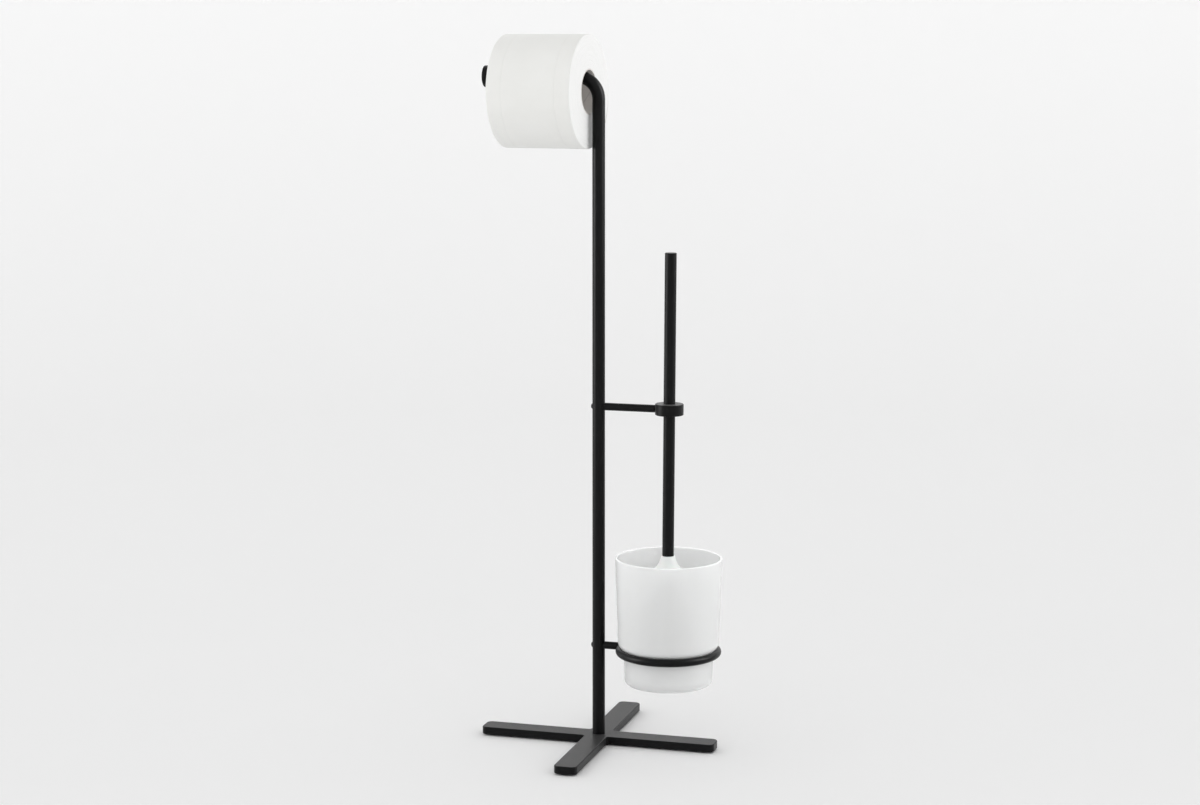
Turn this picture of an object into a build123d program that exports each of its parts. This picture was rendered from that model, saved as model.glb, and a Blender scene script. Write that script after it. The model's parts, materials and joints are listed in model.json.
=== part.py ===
from build123d import *
import os
from math import cos, radians, sin, sqrt, tan

# A free-standing steel stand for a toilet roll, with a toilet brush in a frosted glass cup.
# Frame: the origin is on the floor under the pole, +X points to the cup, -X along the roll arm.

os.makedirs("parts", exist_ok=True)

# Driving dimensions, in millimetres. Heights are above the floor.
bar_length = 250
bar_width = 24
plate_thickness = 8
pad_thickness = 1.5

pole_radius = 6.5
pole_wall = 1.5
bend_radius = 22
arm_height = 686.6
arm_reach = 115

stand_off = 74.4
rod_radius = 3.9
upper_rod_height = 353.4
lower_rod_height = 103.8
collar_radius = 14.5
collar_length = 11.4

ring_radius = 50.3
ring_height = 102.2
rod_reach = 3  # from the middle of the ring's wire back to the rod's end
ring_wire_radius = 4
rim_height = 200.3
rim_radius = 55
cup_foot_height = 68.5
glass_thickness = 3

handle_radius = 6
handle_bottom = 202.2
handle_top = 512.2
handle_lean = 0.29

roll_radius = 57.2
roll_width = 88.8
core_radius = 21.9
core_thickness = 1
roll_centre = (-53.2, 0, 671.9)
roll_yaw = 4.2

m4_radius = 2
m5_radius = 2.5
m6_radius = 3

plate_top = pad_thickness + plate_thickness
pole_bore = pole_radius - pole_wall

# ---------------------------------------------------------------- base

# The cross is one plate: two equal bars with rounded ends, cut out together.
with BuildPart() as base_plate:
    with BuildSketch(Plane.XY.offset(pad_thickness)) as cross:
        RectangleRounded(bar_length, bar_width, 6)
        RectangleRounded(bar_width, bar_length, 6)
        fillet(cross.vertices().sort_by_distance((0, 0, 0))[:4], radius=2.5)
    extrude(amount=plate_thickness)
    fillet(base_plate.faces().sort_by(Axis.Z)[-1].edges(), radius=1)
    chamfer(base_plate.faces().sort_by(Axis.Z)[0].edges(), length=0.4)
    with Locations(Plane(origin=(0, 0, pad_thickness), z_dir=(0, 0, -1))):
        CounterSinkHole(radius=m6_radius + 0.2, counter_sink_radius=2 * m6_radius + 0.2, counter_sink_angle=90)
base_plate.part.label = "base_plate"
export_step(base_plate.part, "parts/base_plate.step")

# Self-adhesive rubber pads: one under each bar end, and one that covers the pole screw.
pad_radius = 8
centre_pad_radius = 11
pad_reach = bar_length / 2 - pad_radius - 3
pad_places = {
    "foot_pad_left": (-pad_reach, 0, pad_radius),
    "foot_pad_right": (pad_reach, 0, pad_radius),
    "foot_pad_front": (0, -pad_reach, pad_radius),
    "foot_pad_back": (0, pad_reach, pad_radius),
    "centre_pad": (0, 0, centre_pad_radius),
}
for pad_name, (pad_x, pad_y, radius) in pad_places.items():
    with BuildPart() as pad:
        with BuildSketch(Plane(origin=(pad_x, pad_y, 0))):
            Circle(radius)
        extrude(amount=pad_thickness)
        chamfer(pad.edges().group_by(Axis.Z)[0], length=0.3)
    pad.part.label = pad_name
    export_step(pad.part, f"parts/{pad_name}.step")

# ---------------------------------------------------------------- pole and roll arm

# One tube, bent at the top into the roll arm. Each rod's screw crosses it, with a flat seat for the head.
screw_seat_depth = 0.85
screw_seat_x = screw_seat_depth - pole_radius
rod_heights = (lower_rod_height, upper_rod_height)
with BuildPart() as pole_tube:
    with BuildLine() as pole_path:
        FilletPolyline((0, 0, plate_top), (0, 0, arm_height), (-arm_reach, 0, arm_height), radius=bend_radius)
    with BuildSketch(Plane.XY.offset(plate_top)):
        Circle(pole_radius)
        Circle(pole_bore, mode=Mode.SUBTRACT)
    sweep()
    for height in rod_heights:
        with Locations(Plane(origin=(-pole_radius, 0, height), z_dir=(-1, 0, 0))):
            CounterBoreHole(
                radius=m4_radius + 0.15,
                counter_bore_radius=3.6,
                counter_bore_depth=screw_seat_depth,
                depth=2 * pole_radius + 1,
            )
pole_tube.part.label = "pole_tube"
export_step(pole_tube.part, "parts/pole_tube.step")

# A threaded plug, pressed into the lower end, takes the pole screw.
with BuildPart() as pole_insert:
    with BuildSketch(Plane.XY.offset(plate_top)):
        Circle(pole_bore)
        Circle(m6_radius, mode=Mode.SUBTRACT)
    extrude(amount=14)
pole_insert.part.label = "pole_insert"
export_step(pole_insert.part, "parts/pole_insert.step")

# Countersunk M6 screw, up through the plate into the plug. Its head is flush with the plate's underside.
m6_head_radius = 2 * m6_radius + 0.2
with BuildPart() as pole_screw:
    with BuildSketch(Plane.XZ):
        with BuildLine():
            Polyline(
                (0, pad_thickness),
                (m6_head_radius, pad_thickness),
                (m6_radius, pad_thickness + m6_head_radius - m6_radius),
                (m6_radius, pad_thickness + 20),
                (0, pad_thickness + 20),
                close=True,
            )
        make_face()
    revolve(axis=Axis.Z)
    with BuildSketch(Plane.XY.offset(pad_thickness)):
        RegularPolygon(radius=2.3, side_count=6)
    extrude(amount=2.4, mode=Mode.SUBTRACT)
pole_screw.part.label = "pole_screw"
export_step(pole_screw.part, "parts/pole_screw.step")

# A threaded plug in the arm's free end takes the retaining disc's spigot.
arm_end = Plane(origin=(-arm_reach, 0, arm_height), z_dir=(-1, 0, 0))
with BuildPart() as arm_insert:
    with BuildSketch(arm_end):
        Circle(pole_bore)
        Circle(m5_radius, mode=Mode.SUBTRACT)
    extrude(amount=-12)
arm_insert.part.label = "arm_insert"
export_step(arm_insert.part, "parts/arm_insert.step")

# The disc that keeps the roll on the arm, turned in one piece with its spigot.
disc_radius = 11
disc_thickness = 5
with BuildPart() as end_disc:
    with BuildSketch(arm_end):
        Circle(disc_radius)
    extrude(amount=disc_thickness)
    fillet(end_disc.edges().group_by(Axis.X)[0], radius=0.8)
    chamfer(end_disc.edges().group_by(Axis.X)[-1], length=0.4)
    with BuildSketch(arm_end):
        Circle(m5_radius)
    extrude(amount=-11)
end_disc.part.label = "end_disc"
export_step(end_disc.part, "parts/end_disc.step")

# ---------------------------------------------------------------- ring and rods

# The ring that the cup hangs in, bent from round bar and closed by a ground weld.
with BuildPart() as cup_ring:
    with Locations((stand_off, 0, ring_height)):
        Torus(ring_radius, ring_wire_radius)
cup_ring.part.label = "cup_ring"
export_step(cup_ring.part, "parts/cup_ring.step")

# Both rods are coped to the pole and tapped for its cross screw. The lower one is notched over the ring and
# welded to it. The upper one ends in a headed pin, which the brush's collar hooks over.
tapped_depth = 8
pin_radius = 2
pin_head_radius = 3.5
pin_head_outer = 11.3
pin_head_inner = 9.4
play = 0.3
with BuildPart() as upper_rod:
    with BuildSketch(Plane.YZ):
        with Locations((0, upper_rod_height)):
            Circle(rod_radius)
    extrude(amount=stand_off - collar_radius - play)
    chamfer(upper_rod.edges().group_by(Axis.X)[-1], length=0.4)
    with BuildSketch(Plane.YZ):
        with Locations((0, upper_rod_height)):
            Circle(pin_radius)
    extrude(amount=stand_off - pin_head_inner)
    with BuildSketch(Plane.YZ.offset(stand_off - pin_head_outer)):
        with Locations((0, upper_rod_height)):
            Circle(pin_head_radius)
    extrude(amount=pin_head_outer - pin_head_inner)
    chamfer(upper_rod.edges().group_by(Axis.X)[-1], length=0.3)
    with Locations((0, 0, upper_rod_height)):
        Cylinder(pole_radius, 3 * rod_radius, mode=Mode.SUBTRACT)
    with BuildSketch(Plane.YZ):
        with Locations((0, upper_rod_height)):
            Circle(m4_radius)
    extrude(amount=pole_radius + tapped_depth, mode=Mode.SUBTRACT)
upper_rod.part.label = "upper_rod"
export_step(upper_rod.part, "parts/upper_rod.step")

with BuildPart() as lower_rod:
    with BuildSketch(Plane.YZ):
        with Locations((0, lower_rod_height)):
            Circle(rod_radius)
    extrude(amount=stand_off - ring_radius - rod_reach)
    with Locations((stand_off, 0, ring_height)):
        Torus(ring_radius, ring_wire_radius, mode=Mode.SUBTRACT)
    with Locations((0, 0, lower_rod_height)):
        Cylinder(pole_radius, 3 * rod_radius, mode=Mode.SUBTRACT)
    with BuildSketch(Plane.YZ):
        with Locations((0, lower_rod_height)):
            Circle(m4_radius)
    extrude(amount=pole_radius + tapped_depth, mode=Mode.SUBTRACT)
lower_rod.part.label = "lower_rod"
export_step(lower_rod.part, "parts/lower_rod.step")

# Low domed M4 screws, one for each rod, put in from the far side of the pole.
m4_head_radius = 3.3
m4_head_height = 2.2
with BuildPart() as rod_screws:
    for height in rod_heights:
        seat = Plane(origin=(screw_seat_x, 0, height), x_dir=(0, 0, 1), z_dir=(0, 1, 0))
        with BuildSketch(seat):
            with BuildLine():
                Line((0, -m4_head_height), (1, -m4_head_height))
                SagittaArc((1, -m4_head_height), (m4_head_radius, -0.5), -0.35)
                Polyline(
                    (m4_head_radius, -0.5),
                    (m4_head_radius, 0),
                    (m4_radius, 0),
                    (m4_radius, pole_radius - screw_seat_x + tapped_depth - 1),
                    (0, pole_radius - screw_seat_x + tapped_depth - 1),
                    (0, -m4_head_height),
                )
            make_face()
        revolve(axis=Axis((0, 0, height), (1, 0, 0)))
        with BuildSketch(Plane(origin=(screw_seat_x - m4_head_height, 0, height), z_dir=(1, 0, 0))):
            RegularPolygon(radius=1.45, side_count=6)
        extrude(amount=1.3, mode=Mode.SUBTRACT)
rod_screws.part.label = "rod_screws"
export_step(rod_screws.part, "parts/rod_screws.step")

# ---------------------------------------------------------------- roll

# The roll hangs on the arm by its core, turned a few degrees from the arm, as a loose roll comes to rest.
roll_axis = (-cos(radians(roll_yaw)), sin(radians(roll_yaw)), 0)
roll_middle = Plane(origin=roll_centre, z_dir=roll_axis)
core_outer_radius = core_radius + core_thickness
with BuildPart() as roll_core:
    with BuildSketch(roll_middle):
        Circle(core_outer_radius)
        Circle(core_radius, mode=Mode.SUBTRACT)
    extrude(amount=roll_width / 2, both=True)
roll_core.part.label = "roll_core"
export_step(roll_core.part, "parts/roll_core.step")

with BuildPart() as paper_roll:
    with BuildSketch(roll_middle):
        Circle(roll_radius)
        Circle(core_outer_radius, mode=Mode.SUBTRACT)
    extrude(amount=roll_width / 2, both=True)
    fillet(paper_roll.edges().filter_by(GeomType.CIRCLE).group_by(SortBy.RADIUS)[-1], radius=0.8)
paper_roll.part.label = "paper_roll"
export_step(paper_roll.part, "parts/paper_roll.step")

# ---------------------------------------------------------------- glass cup

# A pressed glass: a wide tapered bowl, a round shoulder that rests on the ring, and a narrower foot.
shoulder_outer = 8
shoulder_inner = shoulder_outer - glass_thickness
shoulder_radius = 52
shoulder_height = 112.8
foot_top_radius = 46
foot_radius = 45.3
foot_round = 5
punt_radius = 35
punt_depth = 1.5
cup_floor_height = 74.5
shoulder_middle = shoulder_radius - shoulder_outer
foot_drop = sqrt(shoulder_outer**2 - (foot_top_radius - shoulder_middle) ** 2)
cup_side = Plane(origin=(stand_off, 0, 0), x_dir=(1, 0, 0), z_dir=(0, -1, 0))
inner_foot_radius = foot_radius - glass_thickness
with BuildPart() as glass_cup:
    with BuildSketch(cup_side) as cup_section:
        with BuildLine():
            # Outside, from the punt up to the rim.
            Polyline(
                (0, cup_foot_height + punt_depth),
                (punt_radius, cup_foot_height + punt_depth),
                (punt_radius + 3, cup_foot_height),
                (foot_radius, cup_foot_height),
                (foot_top_radius, shoulder_height - foot_drop),
            )
            ThreePointArc(
                (foot_top_radius, shoulder_height - foot_drop),
                (
                    shoulder_middle + shoulder_outer * cos(radians(40)),
                    shoulder_height - shoulder_outer * sin(radians(40)),
                ),
                (shoulder_radius, shoulder_height),
            )
            # Over the rim and down the inside.
            Polyline(
                (shoulder_radius, shoulder_height),
                (rim_radius, rim_height),
                (rim_radius - glass_thickness + 0.4, rim_height),
                (shoulder_radius - glass_thickness, shoulder_height),
            )
            ThreePointArc(
                (shoulder_radius - glass_thickness, shoulder_height),
                (
                    shoulder_middle + shoulder_inner * cos(radians(45)),
                    shoulder_height - shoulder_inner * sin(radians(45)),
                ),
                (shoulder_middle, shoulder_height - shoulder_inner),
            )
            Polyline(
                (shoulder_middle, shoulder_height - shoulder_inner),
                (inner_foot_radius, shoulder_height - shoulder_inner),
                (inner_foot_radius, cup_floor_height),
                (0, cup_floor_height),
                (0, cup_foot_height + punt_depth),
            )
        make_face()
        fillet(cup_section.vertices().sort_by_distance((foot_radius, cup_foot_height))[0], radius=foot_round)
        fillet(cup_section.vertices().sort_by_distance((foot_top_radius, shoulder_height - foot_drop))[0], radius=1.2)
        fillet(cup_section.vertices().sort_by_distance((inner_foot_radius, cup_floor_height))[0], radius=4)
        fillet(cup_section.vertices().sort_by_distance((inner_foot_radius, shoulder_height - shoulder_inner))[0], radius=1)
        fillet(cup_section.vertices().sort_by_distance((rim_radius, rim_height))[0], radius=1)
        fillet(cup_section.vertices().sort_by_distance((rim_radius - glass_thickness + 0.4, rim_height))[0], radius=1)
    revolve(axis=Axis((stand_off, 0, 0), (0, 0, 1)))
glass_cup.part.label = "glass_cup"
export_step(glass_cup.part, "parts/glass_cup.step")

# ---------------------------------------------------------------- brush

# The brush hangs by its collar on the upper rod's pin, with its head in the cup, and leans a little.
# Its pieces share one leaning axis, and their heights are measured along it from the floor.
lean = radians(handle_lean)
brush_origin = (stand_off - upper_rod_height * tan(lean), 0, 0)
brush_base = Plane(origin=brush_origin, x_dir=(cos(lean), 0, -sin(lean)), z_dir=(sin(lean), 0, cos(lean)))
brush_side = Plane(origin=brush_origin, x_dir=(cos(lean), 0, -sin(lean)), z_dir=(0, -1, 0))
brush_axis = Axis(brush_origin, (sin(lean), 0, cos(lean)))

handle_wall = 1.2
handle_bore = handle_radius - handle_wall
cap_thickness = 2
stud_bottom = handle_bottom - 30
with BuildPart() as brush_handle:
    with BuildSketch(brush_base.offset(handle_bottom)):
        Circle(handle_radius)
        Circle(handle_bore, mode=Mode.SUBTRACT)
    extrude(amount=handle_top - cap_thickness - handle_bottom)
    fillet(brush_handle.edges().group_by(Axis.Z)[0].sort_by(SortBy.LENGTH)[-1], radius=0.8)
brush_handle.part.label = "brush_handle"
export_step(brush_handle.part, "parts/brush_handle.step")

# The collar is bonded round the handle. A T-shaped slot, open below, drops over the rod's headed pin: its
# narrow part takes the neck and the pocket behind takes the head. The slot leans away from the pole, so that
# the brush comes off up and outwards.
lift_lean = radians(8)
slot_way = (-sin(lift_lean), 0, -cos(lift_lean))
head_room = play + pin_head_radius * tan(lift_lean)
slot_places = (
    (pin_radius + play, collar_radius + 1, pin_head_outer),
    (pin_head_radius + play, pin_head_outer + head_room, pin_head_inner - head_room),
)
with BuildPart() as handle_collar:
    with BuildSketch(brush_base.offset(upper_rod_height - collar_length / 2)):
        Circle(collar_radius)
        Circle(handle_radius, mode=Mode.SUBTRACT)
    extrude(amount=collar_length)
    outer_edges = handle_collar.edges().filter_by(GeomType.CIRCLE).group_by(SortBy.RADIUS)[-1]
    fillet(outer_edges, radius=0.8)
    for half_width, slot_outer, slot_inner in slot_places:
        with BuildSketch(Plane.YZ.offset(stand_off - slot_outer)):
            with Locations((0, upper_rod_height)):
                Circle(half_width)
        extrude(amount=slot_outer - slot_inner, mode=Mode.SUBTRACT)
        with BuildSketch(Plane.XY.offset(upper_rod_height)):
            with Locations((stand_off - slot_outer, 0)):
                Rectangle(slot_outer - slot_inner, 2 * half_width, align=(Align.MIN, Align.CENTER))
        extrude(amount=collar_length, dir=slot_way, mode=Mode.SUBTRACT)
handle_collar.part.label = "handle_collar"
export_step(handle_collar.part, "parts/handle_collar.step")

# The plug that closes the handle's top, pressed in and ground flush.
with BuildPart() as handle_cap:
    with BuildSketch(brush_base.offset(handle_top - cap_thickness)):
        Circle(handle_radius)
    extrude(amount=cap_thickness)
    chamfer(handle_cap.edges().group_by(Axis.Z)[-1], length=0.6)
    with BuildSketch(brush_base.offset(handle_top - cap_thickness)):
        Circle(handle_bore)
    extrude(amount=-8)
handle_cap.part.label = "handle_cap"
export_step(handle_cap.part, "parts/handle_cap.step")

with BuildPart() as handle_insert:
    with BuildSketch(brush_base.offset(handle_bottom)):
        Circle(handle_bore)
        Circle(m5_radius, mode=Mode.SUBTRACT)
    extrude(amount=16)
handle_insert.part.label = "handle_insert"
export_step(handle_insert.part, "parts/handle_insert.step")

# M5 stud that holds the bell and the brush core on the handle.
with BuildPart() as brush_stud:
    with BuildSketch(brush_base.offset(stud_bottom)):
        Circle(m5_radius)
    extrude(amount=handle_bottom + 14 - stud_bottom)
brush_stud.part.label = "brush_stud"
export_step(brush_stud.part, "parts/brush_stud.step")

# White moulded bell between the handle and the head: it flares out and keeps splashes in the cup.
bell_top_radius = 7
bell_radius = 20
bell_drop = 18.3
bell_bottom = handle_bottom - 20.5
core_top_radius = 6
with BuildPart() as splash_bell:
    with BuildSketch(brush_side):
        with BuildLine():
            Polyline(
                (m5_radius, bell_bottom),
                (m5_radius, handle_bottom),
                (bell_top_radius, handle_bottom),
            )
            ThreePointArc(
                (bell_top_radius, handle_bottom),
                (9.8, handle_bottom - 8.1),
                (bell_radius, handle_bottom - bell_drop),
            )
            Polyline(
                (bell_radius, handle_bottom - bell_drop),
                (bell_radius, handle_bottom - bell_drop - 1.6),
                (9, bell_bottom + 0.6),
                (9, bell_bottom),
                (m5_radius, bell_bottom),
            )
        make_face()
    revolve(axis=brush_axis)
splash_bell.part.label = "splash_bell"
export_step(splash_bell.part, "parts/splash_bell.step")

# White moulded stem that the bristle tufts are set in.
head_bottom = 76.5
with BuildPart() as brush_core:
    with BuildSketch(brush_base.offset(head_bottom)):
        Circle(core_top_radius)
    extrude(amount=bell_bottom - head_bottom)
    fillet(brush_core.edges().group_by(Axis.Z)[0], radius=3)
    with BuildSketch(brush_base.offset(stud_bottom)):
        Circle(m5_radius)
    extrude(amount=bell_bottom - stud_bottom, mode=Mode.SUBTRACT)
brush_core.part.label = "brush_core"
export_step(brush_core.part, "parts/brush_core.step")

# Four tiers of nylon bristles, slanting down and out like the boughs of a fir. Each is a plain solid of the
# space that its tufts fill, and the lowest is trimmed level with the end of the stem.
tier_count = 4
tier_pitch = 22
tier_thickness = 13
first_tier_top = 172.6
head_radius = 32
tier_drop = head_radius - core_top_radius
for tier in range(tier_count):
    tier_top = first_tier_top - tier * tier_pitch
    with BuildPart() as bristle_tier:
        with BuildSketch(brush_side):
            with BuildLine():
                Polyline(
                    (core_top_radius, tier_top),
                    (head_radius, tier_top - tier_drop),
                    (head_radius, tier_top - tier_drop - tier_thickness),
                    (core_top_radius, tier_top - tier_thickness),
                    close=True,
                )
            make_face()
            with BuildLine():
                Polyline(
                    (0, head_bottom),
                    (2 * head_radius, head_bottom),
                    (2 * head_radius, 0),
                    (0, 0),
                    close=True,
                )
            make_face(mode=Mode.SUBTRACT)
        revolve(axis=brush_axis)
    bristle_tier.part.label = f"bristle_tier_{tier + 1}"
    export_step(bristle_tier.part, f"parts/bristle_tier_{tier + 1}.step")
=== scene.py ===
import json
import math
import random

import bpy
from mathutils import Matrix, Vector


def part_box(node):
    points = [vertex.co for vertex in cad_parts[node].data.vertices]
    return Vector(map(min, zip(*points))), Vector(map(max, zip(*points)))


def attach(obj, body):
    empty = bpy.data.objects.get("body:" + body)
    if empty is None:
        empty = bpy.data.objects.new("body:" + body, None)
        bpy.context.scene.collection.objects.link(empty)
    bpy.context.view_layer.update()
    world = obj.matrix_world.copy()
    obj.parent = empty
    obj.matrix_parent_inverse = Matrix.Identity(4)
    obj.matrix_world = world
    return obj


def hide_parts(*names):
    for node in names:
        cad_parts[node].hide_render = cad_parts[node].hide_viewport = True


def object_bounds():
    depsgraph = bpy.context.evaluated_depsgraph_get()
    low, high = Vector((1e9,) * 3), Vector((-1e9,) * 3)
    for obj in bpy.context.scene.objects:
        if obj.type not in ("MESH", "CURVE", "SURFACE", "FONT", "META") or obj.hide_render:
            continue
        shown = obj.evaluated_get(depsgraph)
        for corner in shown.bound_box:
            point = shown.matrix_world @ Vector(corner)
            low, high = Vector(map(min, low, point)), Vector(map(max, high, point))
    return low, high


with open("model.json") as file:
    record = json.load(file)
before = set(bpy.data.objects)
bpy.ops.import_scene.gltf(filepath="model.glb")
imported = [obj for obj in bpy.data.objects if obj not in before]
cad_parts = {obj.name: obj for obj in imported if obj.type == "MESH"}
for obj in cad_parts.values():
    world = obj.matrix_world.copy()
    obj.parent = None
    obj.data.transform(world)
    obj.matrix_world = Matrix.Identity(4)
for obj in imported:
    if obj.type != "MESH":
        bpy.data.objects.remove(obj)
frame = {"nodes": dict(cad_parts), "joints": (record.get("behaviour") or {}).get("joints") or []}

cad_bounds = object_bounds()
nodes = frame["nodes"]

# ---------------------------------------------------------------- base plate
# The cross that the stand rests on: one 8 mm steel plate, cut out whole, with rounded bar ends and eased
# edges. It has a satin black powder coat, sprayed and baked, and one screw from below holds it to the pole.


class Wire:
    """One output of a finish's nodes. Arithmetic on a wire adds Math nodes to the finish."""

    def __init__(self, finish, socket):
        self.finish = finish
        self.socket = socket

    def math(self, operation, *others, clamp=False):
        """A Math node on this value and the others."""
        settings = {"operation": operation, "use_clamp": clamp}
        return self.finish.node("Math", settings, dict(enumerate((self, *others))))

    def __add__(self, other):
        return self.math("ADD", other)

    def __sub__(self, other):
        return self.math("SUBTRACT", other)

    def __rsub__(self, other):
        return self * -1 + other

    def __mul__(self, other):
        return self.math("MULTIPLY", other)

    def __truediv__(self, other):
        return self.math("DIVIDE", other)

    def __abs__(self):
        return self.math("ABSOLUTE")

    __radd__ = __add__
    __rmul__ = __mul__

    def clamped(self):
        """The value, kept between 0 and 1."""
        return self.math("ADD", 0, clamp=True)


class Finish:
    """A material: one shader, its constants, and the nodes that vary it over a surface."""

    def __init__(self, name, constants, library=bpy.data.materials, shader="Principled BSDF"):
        self.material = library.new(name)
        self.material.use_nodes = True
        self.tree = self.material.node_tree
        self.shader = self.tree.nodes[shader]
        for socket, value in constants.items():
            self.shader.inputs[socket].default_value = value

    def node(self, kind, settings, values, output=0):
        """Adds a node of a kind, gives it its settings, then the values or wires of its sockets."""
        made = self.tree.nodes.new("ShaderNode" + kind)
        for key, value in settings.items():
            setattr(made, key, value)
        for key, value in values.items():
            self.join(made.inputs[key], value)
        return Wire(self, made.outputs[output])

    def join(self, socket, value):
        """Links a wire to a socket, or sets the socket to a plain value."""
        if isinstance(value, Wire):
            self.tree.links.new(value.socket, socket)
        else:
            socket.default_value = value

    def vary(self, name, value):
        """Feeds one of the shader's sockets."""
        self.join(self.shader.inputs[name], value)

    def place(self):
        """Where a point of the surface is, in metres, in its object's frame."""
        return self.node("TexCoord", {}, {}, "Object")

    def axes(self, place):
        """The X, Y and Z of a place."""
        split = self.node("SeparateXYZ", {}, {"Vector": place}).socket.node
        return [Wire(self, socket) for socket in split.outputs]

    def noise(self, place, scale, detail=2, rough=0.5):
        """A cloudy value from 0 to 1, with its grains about a scale'th of a metre apart."""
        values = {"Vector": place, "Scale": scale, "Detail": detail, "Roughness": rough}
        return self.node("TexNoise", {}, values, "Fac")

    def blend(self, share, low, high):
        """A colour between two colours."""
        low = low if isinstance(low, Wire) else (*low, 1)
        high = high if isinstance(high, Wire) else (*high, 1)
        return self.node("Mix", {"data_type": "RGBA"}, {0: share, 6: low, 7: high}, 2)

    def relief(self, height, depth):
        """A bump, whose depth is in metres for a height of one."""
        self.vary("Normal", self.node("Bump", {}, {"Height": height, "Distance": depth}))


def powder_coat(name):
    """Satin black polyester powder: low swells like orange peel, and a finer grain in them."""
    coat = Finish(name, {"Specular IOR Level": 0.12, "Sheen Weight": 0.10, "Sheen Roughness": 0.35})
    place = coat.place()
    peel = coat.noise(place, 520, 2)
    grain = coat.noise(place, 2400, 2)
    cloud = coat.noise(place, 14, 3)
    coat.vary("Base Color", coat.blend(cloud, (0.0018, 0.0018, 0.0020), (0.0044, 0.0044, 0.0047)))
    coat.vary("Roughness", 0.27 + 0.08 * cloud + 0.06 * grain)
    coat.relief(peel * 0.6 + grain * 0.4, 0.00012)
    return coat.material


def dress(node, material):
    """Gives a CAD node its finish."""
    held = nodes[node].data.materials
    held.clear()
    held.append(material)


coat_black = powder_coat("coat_black")
dress("base_plate", coat_black)

# ---------------------------------------------------------------- foot pads
# Black rubber discs, punched from sheet and stuck under the bar ends, with a larger one over the pole's
# screw. They stand the plate 1.5 mm off the floor.

rubber = Finish("pad_rubber", {"Specular IOR Level": 0.35})
rubber_place = rubber.place()
rubber_bloom = rubber.noise(rubber_place, 60, 3)
rubber_grain = rubber.noise(rubber_place, 3000, 2)
rubber.vary("Base Color", rubber.blend(rubber_bloom, (0.010, 0.010, 0.010), (0.026, 0.026, 0.025)))
rubber.vary("Roughness", 0.72 + 0.2 * rubber_bloom)
rubber.relief(rubber_grain, 0.00008)

for pad in ("foot_pad_left", "foot_pad_right", "foot_pad_front", "foot_pad_back", "centre_pad"):
    dress(pad, rubber.material)

# ---------------------------------------------------------------- threaded steel
# The pole's screw and the tapped plugs in the tubes: turned steel with a thin bright zinc plate, which stays
# uncoated because it is inside. The screw's head shows only when the centre pad is peeled off.

zinc = Finish("zinc_plate", {"Metallic": 1.0})
zinc_place = zinc.place()
zinc_spangle = zinc.noise(zinc_place, 350, 3)
zinc_turning = zinc.noise(zinc_place, 4000, 1)
zinc.vary("Base Color", zinc.blend(zinc_spangle, (0.42, 0.43, 0.45), (0.62, 0.62, 0.63)))
zinc.vary("Roughness", 0.28 + 0.16 * zinc_spangle)
zinc.relief(zinc_turning, 0.00002)

for hidden in ("pole_screw", "pole_insert", "arm_insert", "handle_insert", "brush_stud"):
    dress(hidden, zinc.material)

# ---------------------------------------------------------------- pole and end disc
# One 13 mm steel tube, bent at the top into the roll arm. The disc screwed into the arm's free end keeps the
# roll on. Both have the same powder coat as the base.

for black_piece in ("pole_tube", "end_disc"):
    dress(black_piece, coat_black)

# ---------------------------------------------------------------- rods and ring
# Two 8 mm rods screwed across the pole. The lower one is welded to the ring that the cup hangs in, and the
# upper one ends in the pin that the brush's collar hooks over. They are coated with the ring as one.

for black_piece in ("upper_rod", "lower_rod", "cup_ring"):
    dress(black_piece, coat_black)

# The cross screws have low domed heads and a black oxide finish, which is smoother than the coat.
oxide = Finish("black_oxide", {"Metallic": 0.85})
oxide_place = oxide.place()
oxide_cloud = oxide.noise(oxide_place, 900, 3)
oxide.vary("Base Color", oxide.blend(oxide_cloud, (0.020, 0.020, 0.022), (0.050, 0.050, 0.052)))
oxide.vary("Roughness", 0.30 + 0.15 * oxide_cloud)
oxide.relief(oxide_cloud, 0.00002)
dress("rod_screws", oxide.material)

# ---------------------------------------------------------------- roll core
# The tube that the paper is wound on: two plies of grey board wound in a spiral and glued, so that a seam
# runs round it like a screw thread. Its cut ends are a little furred.

roll_joint = next(joint for joint in frame["joints"] if joint["name"] == "roll_spin")
roll_centre = Vector(roll_joint["pos_m"])
roll_yaw = math.atan2(roll_joint["axis"][1], -roll_joint["axis"][0])
core_pitch = 0.075

board = Finish("core_board", {"Specular IOR Level": 0.2})
board_place = board.node(
    "Mapping",
    {"vector_type": "TEXTURE"},
    {"Vector": board.place(), "Location": roll_centre, "Rotation": (0, 0, -roll_yaw)},
)
board_x, board_y, board_z = board.axes(board_place)
board_turn = board_z.math("ARCTAN2", board_y) / math.tau
seam_phase = (board_x / core_pitch - board_turn).math("FRACT")
seam = (1 - abs(seam_phase - 0.5) * 90).clamped()
fibre = board.noise(board_place, 900, 4, 0.65)
board_cloud = board.noise(board_place, 70, 3)
board_tone = board.blend(board_cloud * 0.5 + fibre * 0.5, (0.66, 0.63, 0.60), (0.86, 0.83, 0.80))
board.vary("Base Color", board.blend(seam * 0.5, board_tone, (0.45, 0.425, 0.40)))
board.vary("Roughness", 0.82 + 0.15 * fibre)
board.relief(fibre * 0.5 - seam, 0.00025)
dress("roll_core", board.material)

# ---------------------------------------------------------------- paper roll
# Two-ply tissue wound on the core: the ends show the edges of the windings, two embossed lines bind the
# plies near them, and the last sheet ends in a torn perforation that stands a little off the roll.

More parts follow.
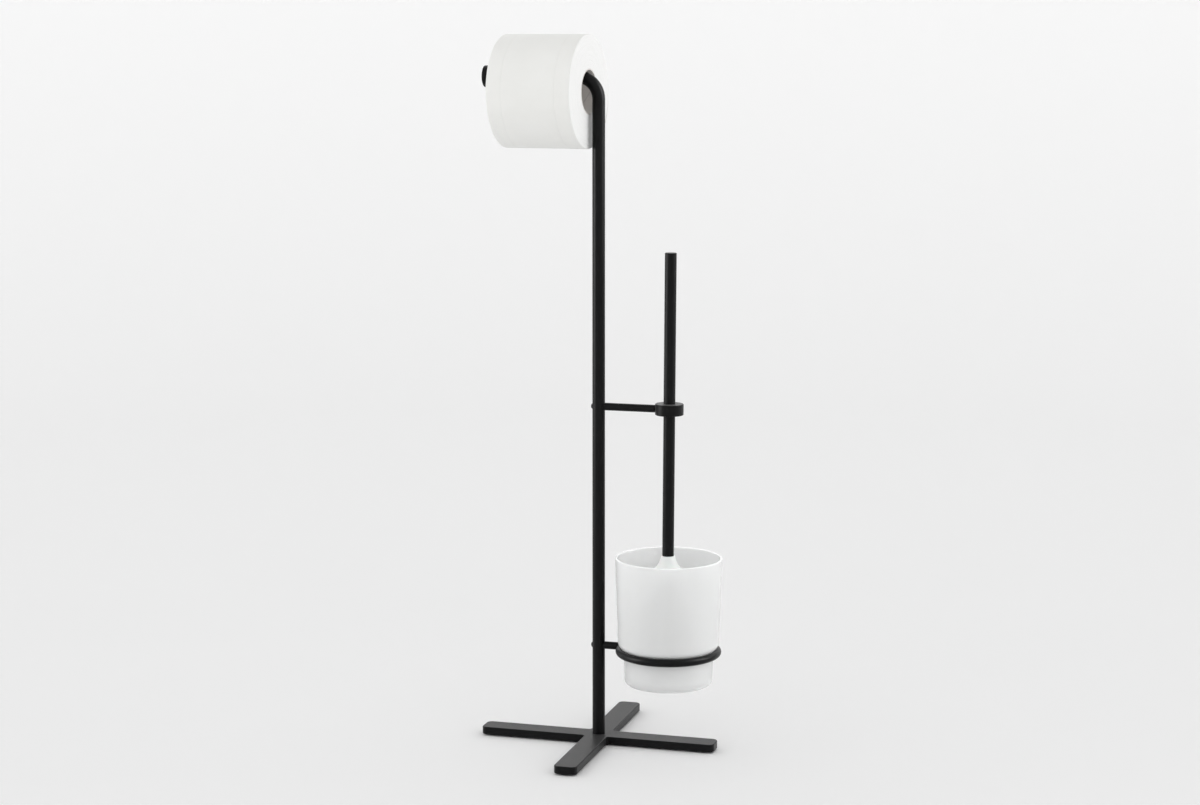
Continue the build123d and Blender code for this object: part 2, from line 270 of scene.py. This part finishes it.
paper_low, paper_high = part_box("paper_roll")
core_low, core_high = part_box("roll_core")
roll_radius = (paper_high.z - paper_low.z) / 2
roll_bore = (core_high.z - core_low.z) / 2
roll_width = (paper_high.x - paper_low.x - 2 * roll_radius * math.sin(roll_yaw)) / math.cos(roll_yaw)
emboss_place = roll_width / 2 - 0.016
soft_edge = 0.0012
out_of_round = 0.00012


def skin(rings, close=False):
    """Points and quads over a stack of equal rings; close joins the last ring to the first."""
    count = len(rings[0])
    points = [point for ring in rings for point in ring]
    faces = []
    for i in range(len(rings) if close else len(rings) - 1):
        this, after = i * count, (i + 1) % len(rings) * count
        for j in range(count):
            k = (j + 1) % count
            faces.append((this + j, this + k, after + k, after + j))
    return points, faces


def piece(name, points, faces, material, matrix=Matrix.Identity(4)):
    """A smooth-shaded mesh object."""
    mesh = bpy.data.meshes.new(name)
    mesh.from_pydata(points, [], faces)
    mesh.materials.append(material)
    mesh.shade_smooth()
    mesh.update()
    made = bpy.data.objects.new(name, mesh)
    made.matrix_world = matrix
    bpy.context.scene.collection.objects.link(made)
    return made


def ripple(angle, seeds):
    """A smooth wander round a turn, about one high, from a few seeded waves."""
    return sum(math.sin(turns * angle + phase) / len(seeds) for turns, phase in seeds)


def arc(centre, radius, start, end, steps):
    """Points of an arc in a section, by its angles in degrees."""
    turns = [math.radians(start + (end - start) * i / steps) for i in range(steps + 1)]
    return [(centre[0] + radius * math.cos(a), centre[1] + radius * math.sin(a)) for a in turns]


def end_profile(side, draw):
    """The roll's rings at one end, from the bore out, as (x, radius, wander along x)."""
    half = roll_width / 2
    face_rings = 52
    face = []
    for i in range(face_rings + 1):
        radius = roll_bore + (roll_radius - soft_edge - roll_bore) * i / face_rings
        face.append((side * half, radius, side * draw.uniform(-0.00016, 0.00006)))
    edge = arc((half - soft_edge, roll_radius - soft_edge), soft_edge, 30, 60, 1)
    return face + [(side * x, radius, 0) for x, radius in edge]


def side_profile():
    """The roll's rings along its side, with a shallow groove at each embossed line."""
    reach = roll_width / 2 - soft_edge
    half_rings = 23
    groove_depth, groove_reach, groove_step = 0.0001, 0.0005, 0.0004
    places = [(i / half_rings - 1) * reach for i in range(2 * half_rings + 1)]
    places += [side * emboss_place + step * groove_step for side in (-1, 1) for step in range(-2, 3)]
    rings = []
    for x in sorted(places):
        away = (abs(x) - emboss_place) / groove_reach
        rings.append((x, roll_radius - groove_depth * math.exp(-(away**2)), 0))
    return rings


draw_wander = random.Random(4)
profile = end_profile(-1, draw_wander) + side_profile() + end_profile(1, draw_wander)[::-1]
roll_turns = 300
side_waves = [(3, 0.4), (7, 2.1), (12, 4.0), (19, 1.1)]
rings = []
draw_waves = random.Random(11)
for x, radius, wander in profile:
    waves = [(draw_waves.randint(2, 9), draw_waves.uniform(0, math.tau)) for _ in range(3)]
    ring = []
    for j in range(roll_turns):
        angle = math.tau * j / roll_turns
        push = wander * (1 + 0.5 * ripple(angle, waves))
        depth = (radius - roll_bore) / (roll_radius - roll_bore)
        r = radius + depth * out_of_round * ripple(angle, side_waves)
        ring.append((x + push, r * math.cos(angle), r * math.sin(angle)))
    rings.append(ring)
roll_points, roll_faces = skin(rings, close=True)

# The loose end: it leaves the roll at the back and lifts towards its torn edge.
tail_start = math.radians(18)
tail_end = math.radians(-34)
tail_steps = 26
tail_across = 88
tail_width = roll_width - 0.0008
tail_lift = 0.0022
tail_wave = 0.0005
tooth = 0.0007
tooth_pitch = 0.0042
sheet_thickness = 0.0003
sheet_gap = 0.0001


def tail_point(share, x, outside):
    """A point of the loose end, from where it leaves the roll, at 0, to its torn edge, at 1."""
    torn = tooth / roll_radius * (0.5 + 0.5 * math.cos(x * math.tau / tooth_pitch)) if share == 1 else 0
    angle = tail_start + (tail_end - tail_start) * share + torn
    wave = tail_wave * math.sin(x * 85 + 0.6) * share**2
    radius = roll_radius + sheet_gap + (tail_lift + wave) * share**2.2 + sheet_thickness * outside
    return (x, radius * math.cos(angle), radius * math.sin(angle))


for outside in (0, 1):
    for i in range(tail_steps + 1):
        for j in range(tail_across + 1):
            x = (j / tail_across - 0.5) * tail_width
            roll_points.append(tail_point(i / tail_steps, x, outside))
tail_first = len(rings) * roll_turns
tail_row = tail_across + 1
tail_layer = (tail_steps + 1) * tail_row
for i in range(tail_steps):
    for j in range(tail_across):
        a = tail_first + i * tail_row + j
        roll_faces.append((a, a + tail_row, a + tail_row + 1, a + 1))
        b = a + tail_layer
        roll_faces.append((b, b + 1, b + tail_row + 1, b + tail_row))
for i in range(tail_steps):
    for a, turn in ((tail_first + i * tail_row, 1), (tail_first + i * tail_row + tail_across, -1)):
        roll_faces.append((a, a + tail_layer, a + tail_layer + tail_row, a + tail_row)[::turn])
for j in range(tail_across):
    for a, turn in ((tail_first + j, -1), (tail_first + tail_steps * tail_row + j, 1)):
        roll_faces.append((a, a + tail_layer, a + tail_layer + 1, a + 1)[::turn])

paper = Finish(
    "white_paper",
    {"Specular IOR Level": 0.15, "Sheen Weight": 0.15, "Sheen Roughness": 0.6},
)
paper_place = paper.place()
paper_x, paper_y, paper_z = paper.axes(paper_place)
paper_reach = (paper_y * paper_y + paper_z * paper_z).math("SQRT")
paper_turn = paper_z.math("ARCTAN2", paper_y)
on_side = ((paper_reach - (roll_radius - 0.0006)) / 0.0004).clamped()
# Across the roll the tissue is creped: fine ridges that run from end to end.
crepe_place = paper.node("CombineXYZ", {}, {"X": paper_x * 90, "Y": paper_turn * 95, "Z": 0.0})
crepe = paper.noise(crepe_place, 1, 3, 0.6)
# On the ends, each winding's edge is a ring.
ring_place = paper.node("CombineXYZ", {}, {"X": paper_reach * 1400, "Y": paper_turn * 1.6, "Z": paper_x * 40})
windings = paper.noise(ring_place, 1, 4, 0.7)
fluff = paper.noise(paper_place, 1500, 3, 0.6)
# The embossed line is a row of small pressed dots.
dot_reach = 0.0007
dot_pitch = 0.0016
emboss_band = (1 - abs(abs(paper_x) - emboss_place) / dot_reach).clamped()
dots = (paper_turn * (roll_radius * math.tau / dot_pitch)).math("SINE")
pressed = emboss_band * (0.6 + 0.4 * dots) * on_side
paper_cloud = paper.noise(paper_place, 26, 3)
side_tone = paper.blend(paper_cloud, (0.80, 0.80, 0.775), (0.86, 0.86, 0.84))
end_tone = paper.blend(windings, (0.76, 0.76, 0.75), (0.91, 0.91, 0.905))
paper_tone = paper.blend(on_side, end_tone, side_tone)
paper.vary("Base Color", paper.blend(pressed * 0.14, paper_tone, (0.62, 0.62, 0.60)))
paper.vary("Roughness", 0.86 + 0.12 * fluff)
side_height = crepe * 0.55 + fluff * 0.25 - pressed * 0.8
end_height = windings * 1.1 + fluff * 0.3
paper.relief(side_height * on_side + end_height * (1 - on_side), 0.00022)

roll_place = Matrix.Translation(roll_centre) @ Matrix.Rotation(-roll_yaw, 4, "Z")
paper_roll = piece("wound_paper", roll_points, roll_faces, paper.material, roll_place)
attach(paper_roll, "roll")
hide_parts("paper_roll")

# ---------------------------------------------------------------- glass cup
# A pressed glass, dipped in acid so that it is frosted all over. It tapers to a round shoulder, which rests
# on the ring, and stands on a narrower foot with a shallow punt. Its rim is fire-polished.

cup_low, cup_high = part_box("glass_cup")
cup_x = (cup_low.x + cup_high.x) / 2
cup_rim_radius = (cup_high.x - cup_low.x) / 2
cup_rim = cup_high.z
cup_foot = cup_low.z
cup_wall = 0.003
shoulder_height = 0.1128
shoulder_radius = 0.052
shoulder_bend = 0.008
foot_radius = 0.0453
foot_bend = 0.005
foot_top_radius = 0.046
punt_radius = 0.035
punt_depth = 0.0015
punt_ramp = 0.003
floor_height = 0.0745
inner_bend = 0.004
neck_round = 0.0012
rim_thinning = 0.0004
axis_gap = 0.0005


def run(start, end, steps):
    """Points along a straight side of a section, without its ends."""
    return [
        (start[0] + (end[0] - start[0]) * i / steps, start[1] + (end[1] - start[1]) * i / steps)
        for i in range(1, steps)
    ]


shoulder_middle = (shoulder_radius - shoulder_bend, shoulder_height)
foot_drop = math.sqrt(shoulder_bend**2 - (foot_top_radius - shoulder_middle[0]) ** 2)
foot_turn = math.degrees(math.asin(-foot_drop / shoulder_bend))
rim_round = (cup_wall - rim_thinning) / 2
rim_middle = (cup_rim_radius - rim_round, cup_rim - rim_round)
inner_foot = foot_radius - cup_wall
shoulder_start = (foot_top_radius, shoulder_height - foot_drop)
inner_rim = (rim_middle[0] - rim_round, rim_middle[1])
inner_shoulder = (shoulder_radius - cup_wall, shoulder_height)
punt_height = cup_foot + punt_depth
cup_outside = [(axis_gap, punt_height), (punt_radius * 0.6, punt_height), (punt_radius, punt_height)]
cup_outside += [(punt_radius + punt_ramp / 2, cup_foot + punt_depth * 0.4)]
cup_outside += [(punt_radius + punt_ramp, cup_foot)]
cup_outside += arc((foot_radius - foot_bend, cup_foot + foot_bend), foot_bend, -90, 0, 8)
cup_outside += run((foot_radius, cup_foot + foot_bend), shoulder_start, 6)
cup_outside += arc(shoulder_middle, shoulder_bend, foot_turn + 2, 0, 10)
cup_outside += run((shoulder_radius, shoulder_height), (cup_rim_radius, cup_rim - rim_round), 20)
cup_outside += arc(rim_middle, rim_round, 0, 90, 5)
cup_inside = arc(rim_middle, rim_round, 108, 180, 4)
cup_inside += run(inner_rim, inner_shoulder, 20)
cup_inside += arc(shoulder_middle, shoulder_bend - cup_wall, 0, -80, 6)
cup_inside += arc((inner_foot, shoulder_height - shoulder_bend + cup_wall / 2), neck_round, 60, 0, 2)
cup_inside += run((inner_foot, shoulder_height - shoulder_bend), (inner_foot, floor_height + inner_bend), 6)
cup_inside += arc((inner_foot - inner_bend, floor_height + inner_bend), inner_bend, 0, -90, 6)
cup_inside += [(inner_foot * 0.5, floor_height), (axis_gap, floor_height)]


def lathe(section, around, wobble=0.0):
    """Rings of a turned shape, a little out of round by wobble."""
    made = []
    for radius, height in section:
        ring = []
        for j in range(around):
            a = math.tau * j / around
            r = radius * (1 + wobble * math.sin(2 * a + 0.7) + wobble * 0.5 * math.sin(3 * a + height * 30))
            ring.append((r * math.cos(a), r * math.sin(a), height))
        made.append(ring)
    return made


cup_turns = 144
cup_points, cup_faces = skin(lathe(cup_outside + cup_inside, cup_turns, 0.0004))
cup_last = len(cup_points) - cup_turns
cup_faces.append(tuple(range(cup_turns))[::-1])
cup_faces.append(tuple(range(cup_last, cup_last + cup_turns)))

frost = Finish(
    "frosted_glass",
    {"Transmission Weight": 0.42, "IOR": 1.3, "Specular IOR Level": 0.4},
)
frost_place = frost.place()
frost_cloud = frost.noise(frost_place, 22, 3)
frost_etch = frost.noise(frost_place, 2600, 3, 0.65)
frost.vary("Base Color", frost.blend(frost_cloud, (0.980, 0.988, 0.986), (0.995, 0.998, 0.997)))
frost.vary("Roughness", 0.16 + 0.06 * frost_cloud + 0.04 * frost_etch)
frost.relief(frost_etch, 0.00005)

cup_place = Matrix.Translation((cup_x, 0, 0))
frosted_cup = piece("frosted_cup", cup_points, cup_faces, frost.material, cup_place)
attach(frosted_cup, "cup")
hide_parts("glass_cup")

# ---------------------------------------------------------------- brush handle
# A 12 mm tube closed by a pressed-in plug, ground flush. The collar bonded round it hooks over the upper
# rod's pin. All three have the stand's powder coat.

for black_piece in ("brush_handle", "handle_collar", "handle_cap"):
    dress(black_piece, coat_black)

# ---------------------------------------------------------------- bell and stem
# White polypropylene mouldings. The bell screws on under the handle and keeps splashes in the cup, and the
# stem below it carries the tufts. A parting line runs down both sides.

moulded = Finish("white_plastic", {"Specular IOR Level": 0.45, "Subsurface Weight": 0.1})
moulded_place = moulded.place()
parting = (1 - abs(moulded.axes(moulded_place)[1]) / 0.00025).clamped()
flow = moulded.noise(moulded_place, 45, 3)
pores = moulded.noise(moulded_place, 1800, 2)
moulded.vary("Base Color", moulded.blend(flow, (0.83, 0.83, 0.82), (0.90, 0.90, 0.89)))
moulded.vary("Roughness", 0.30 + 0.12 * flow + 0.05 * pores)
moulded.relief(parting + pores * 0.2, 0.00012)
for moulding in ("splash_bell", "brush_core"):
    dress(moulding, moulded.material)

# ---------------------------------------------------------------- bristles
# Crimped nylon, set in the stem in tufts of a dozen or so and trimmed by machine. Four tiers slant down and
# out, one above the other, with a gap between them.

handle_lean = math.radians(0.29)
brush_axis = Vector((math.sin(handle_lean), 0, math.cos(handle_lean)))
stem_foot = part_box("brush_core")[0].z
stem_radius = 0.006
tier_thickness = 0.013
tier_margin = 0.0018
tier_rows = 3
tufts_around = 24
filaments = 14
filament_radius = 0.00028
filament_steps = 5
nylon_slant = math.radians(45)
root_depth = 0.0005
root_scatter = 0.06
tuft_spread = 0.17
crimp_depth = 0.00022
trim_gap = 0.0004


def brush_matrix(height):
    """The place on the brush's leaning axis at a height, with Z along the axis."""
    handle_low, handle_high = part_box("brush_handle")
    middle = (handle_low + handle_high) / 2
    point = middle + brush_axis * ((height - middle.z) / brush_axis.z)
    turn = brush_axis.to_track_quat("Z", "Y").to_matrix().to_4x4()
    return Matrix.Translation(point) @ turn


def filament_line(draw, root_angle, root_height, length):
    """A filament's line from the stem out, in the brush's own axes: it slants down, and its tip droops."""
    swing = draw.uniform(-tuft_spread, tuft_spread)
    dip = draw.uniform(-tuft_spread, tuft_spread)
    crimp = draw.uniform(0, math.tau)
    line = []
    for i in range(filament_steps + 1):
        share = i / filament_steps
        reach = stem_radius - root_depth + length * math.cos(nylon_slant) * share
        fall = length * math.sin(nylon_slant) * (share + 0.10 * share**2)
        angle = root_angle + swing * 0.9 * share * 6 / (5 + 10 * share)
        kink = crimp_depth * math.sin(share * 14 + crimp)
        height = root_height - fall + dip * 0.012 * share + kink
        line.append(Vector(((reach + kink) * math.cos(angle), (reach + kink) * math.sin(angle), height)))
    return line


def thread(points, faces, line, radius):
    """Adds a thin tapering rod along a line."""
    sides, taper = 3, 0.35
    first = len(points)
    for i, place in enumerate(line):
        ahead = line[min(i + 1, len(line) - 1)] - line[max(i - 1, 0)]
        across = ahead.cross(Vector((0, 0, 1))).normalized()
        up = across.cross(ahead).normalized()
        thin = radius * (1 - taper * i / (len(line) - 1))
        for k in range(sides):
            a = math.tau * k / sides
            points.append(place + (across * math.cos(a) + up * math.sin(a)) * thin)
    for i in range(len(line) - 1):
        for k in range(sides):
            a, b = first + i * sides + k, first + i * sides + (k + 1) % sides
            faces.append((a, b, b + sides, a + sides))
    faces.append(tuple(range(first, first + sides))[::-1])
    last = first + (len(line) - 1) * sides
    faces.append(tuple(range(last, last + sides)))


nylon = Finish("white_bristle", {"Specular IOR Level": 0.5, "Subsurface Weight": 0.15})
nylon_place = nylon.place()
nylon_shade = nylon.noise(nylon_place, 160, 2)
nylon_grain = nylon.noise(nylon_place, 3000, 2)
nylon.vary("Base Color", nylon.blend(nylon_shade, (0.88, 0.88, 0.87), (0.97, 0.97, 0.96)))
nylon.vary("Roughness", 0.30 + 0.15 * nylon_grain)
nylon.relief(nylon_grain, 0.00003)

brush_tufts = []
for tier in range(1, 5):
    draw = random.Random(tier)
    tier_node = f"bristle_tier_{tier}"
    tier_low, tier_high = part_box(tier_node)
    tier_reach = (tier_high.y - tier_low.y) / 2
    tuft_length = (tier_reach - stem_radius - root_depth) / math.cos(nylon_slant)
    points, faces = [], []
    for row in range(tier_rows):
        root = -tier_margin - (tier_thickness - 2 * tier_margin) * row / (tier_rows - 1)
        for tuft in range(tufts_around):
            tuft_angle = math.tau * (tuft + 0.5 * (row % 2)) / tufts_around
            for _ in range(filaments):
                length = tuft_length * draw.uniform(0.93, 1.0)
                root_angle = tuft_angle + draw.uniform(-root_scatter, root_scatter)
                line = filament_line(draw, root_angle, root, length)
                line = [place for place in line if place.z > stem_foot - tier_high.z + trim_gap]
                if len(line) > 2:
                    thread(points, faces, line, filament_radius)
    tufts = piece(f"tufts_{tier}", points, faces, nylon.material, brush_matrix(tier_high.z))
    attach(tufts, "brush")
    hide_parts(tier_node)
    brush_tufts.append(tufts)

# ---------------------------------------------------------------- camera
# A long lens, a little above the roll's height and to the right of the stand's front.

camera_place = Vector((0.6836, -2.3855, 0.7330))
camera_back = Vector((0.27187, -0.95063, 0.14971))
lens = bpy.data.cameras.new("camera")
lens.lens = 73.82
lens.sensor_width = 36
lens.dof.use_dof = False
camera = bpy.data.objects.new("camera", lens)
camera.location = camera_place
camera.rotation_euler = (-camera_back).to_track_quat("-Z", "Y").to_euler()
bpy.context.scene.collection.objects.link(camera)
bpy.context.scene.camera = camera
bpy.context.scene.view_settings.view_transform = "Standard"

# ---------------------------------------------------------------- studio
# A pale floor that curves up into a low wall all round, under a white sky that is brightest at the horizon.
# Soft lights on the object alone put a highlight down both sides of the tubes and light the cup's inside.

stage_flat = 2.2
stage_bend = 1.6
stage_section = [(0.001, 0), (0.5, 0), (1.0, 0), (1.6, 0)]
stage_section += arc((stage_flat, stage_bend), stage_bend, -90, -2, 24)
stage_points, stage_faces = skin(lathe(stage_section, 96))
backdrop = Finish("pale_floor", {"Specular IOR Level": 0.1})
backdrop_place = backdrop.place()
backdrop_cloud = backdrop.noise(backdrop_place, 3, 2)
backdrop_x, backdrop_y = backdrop.axes(backdrop_place)[:2]
backdrop_reach = (backdrop_x * backdrop_x + backdrop_y * backdrop_y).math("SQRT")
floor_tone = backdrop.blend(backdrop_cloud, (0.965, 0.965, 0.965), (0.98, 0.98, 0.98))
wall_share = ((backdrop_reach - 0.8) / 1.2).clamped()
backdrop.vary("Base Color", backdrop.blend(wall_share, floor_tone, (0.985, 0.985, 0.985)))
backdrop.vary("Roughness", 0.85 + 0.1 * backdrop_cloud)
floor = piece("pale_floor", stage_points, stage_faces, backdrop.material)

sky = Finish("studio", {"Color": (1, 1, 1, 1)}, bpy.data.worlds, "Background")
sky_rise = sky.axes(sky.node("TexCoord", {}, {}, "Generated"))[2]
sky.vary("Strength", 1.58 - 1.0 * sky_rise.clamped())
bpy.context.scene.world = sky.material


def softbox(name, turn, rise, radiance, receivers):
    """A soft light on some pieces alone, from a turn away from the camera's side and a rise, in degrees."""
    width, height, distance = 0.7, 1.4, 1.85
    lamp = bpy.data.lights.new(name, "AREA")
    lamp.shape = "RECTANGLE"
    lamp.size = width
    lamp.size_y = height
    lamp.energy = radiance * math.pi * width * height
    middle = (cad_bounds[0] + cad_bounds[1]) / 2
    level = Vector((camera_back.x, camera_back.y, 0)).normalized() * math.cos(math.radians(rise))
    way = Matrix.Rotation(math.radians(turn), 3, "Z") @ level + Vector((0, 0, math.sin(math.radians(rise))))
    held = bpy.data.objects.new(name, lamp)
    held.location = middle + way * distance
    held.rotation_euler = (-way).to_track_quat("-Z", "Y").to_euler()
    bpy.context.scene.collection.objects.link(held)
    lit = bpy.data.collections.new(name)
    for receiver in receivers:
        lit.objects.link(receiver)
    held.light_linking.receiver_collection = lit


black_pieces = [held for held in nodes.values() if held.data.materials[0] == coat_black]
brush_head = [*brush_tufts, nodes["splash_bell"], nodes["brush_core"]]
white_pieces = [paper_roll, nodes["roll_core"], frosted_cup, *brush_head]
softbox("right_softbox", 84, 6, 2.6, white_pieces)
softbox("left_softbox", -84, 6, 2.0, white_pieces)
softbox("right_strip", 84, 28, 11, black_pieces)
softbox("left_strip", -82, 12, 10, black_pieces)
softbox("cup_light", 180, 76, 11, [frosted_cup])
softbox("brush_light", 180, 76, 3.5, brush_head)
